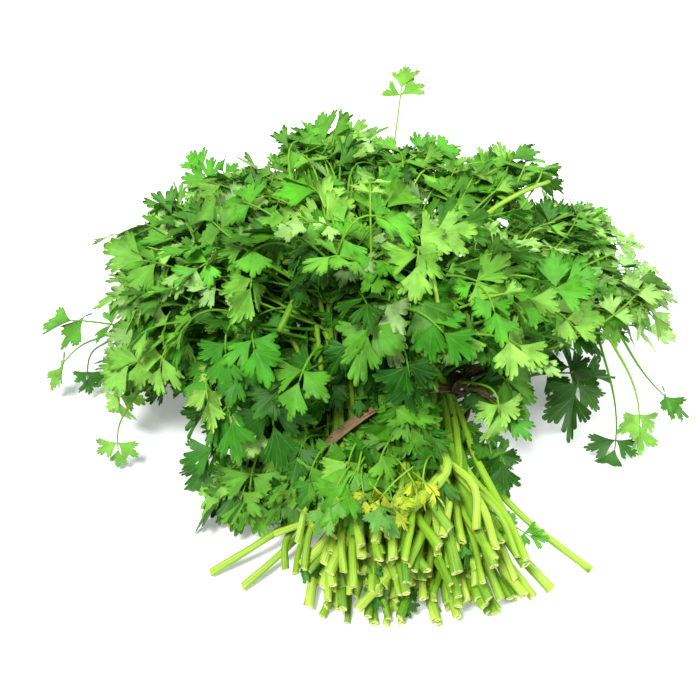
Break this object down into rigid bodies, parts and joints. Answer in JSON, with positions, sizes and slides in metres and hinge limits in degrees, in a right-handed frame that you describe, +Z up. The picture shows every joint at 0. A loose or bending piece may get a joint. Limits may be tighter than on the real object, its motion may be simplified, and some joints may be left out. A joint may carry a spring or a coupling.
{
  "type": "coriander bunch",
  "caption": "Bunch of fresh coriander lying on its side: cut stems through a dry leaf tie, with toothed compound leaves fanning out behind it.",
  "frame": {"origin": "on the surface the bunch lies on, under the middle of its bounding box", "axes": "+X to the right across the bunch, +Y from the cut ends to the leaf tips, +Z up"},
  "size_m": [0.4314, 0.3584, 0.1814],
  "materials": {
    "stem": "fresh ribbed stalk, pale yellow-green, slightly glossy",
    "leaf": "thin toothed leaf, mid green with paler veins and underside",
    "tie": "dry brown strip of palm leaf, matte and fibrous"
  },
  "bodies": {
    "root": {"stem_01": "stem", "stem_02": "stem", "stem_03": "stem", "stem_04": "stem", "stem_05": "stem", "stem_06": "stem", "stem_07": "stem", "stem_08": "stem", "stem_09": "stem", "stem_10": "stem", "stem_11": "stem", "stem_12": "stem", "stem_13": "stem", "stem_14": "stem", "stem_15": "stem", "stem_16": "stem", "stem_17": "stem", "stem_18": "stem", "stem_19": "stem", "stem_20": "stem", "stem_21": "stem", "stem_22": "stem", "stem_23": "stem", "leaf_01": "leaf", "leaf_02": "leaf", "leaf_03": "leaf", "leaf_04": "leaf", "leaf_05": "leaf", "leaf_06": "leaf", "leaf_07": "leaf", "leaf_08": "leaf", "leaf_09": "leaf", "leaf_10": "leaf", "leaf_11": "leaf", "leaf_12": "leaf", "leaf_13": "leaf", "leaf_14": "leaf", "leaf_15": "leaf", "leaf_16": "leaf", "leaf_17": "leaf", "leaf_18": "leaf", "leaf_19": "leaf", "leaf_20": "leaf", "leaf_21": "leaf", "leaf_22": "leaf", "leaf_23": "leaf", "leaf_24": "leaf", "leaf_25": "leaf", "leaf_26": "leaf", "leaf_27": "leaf", "leaf_28": "leaf", "leaf_29": "leaf", "leaf_30": "leaf", "leaf_31": "leaf", "leaf_32": "leaf", "leaf_33": "leaf", "leaf_34": "leaf", "leaf_35": "leaf", "tie_band": "tie", "tie_knot": "tie"}
  },
  "joints": []
}
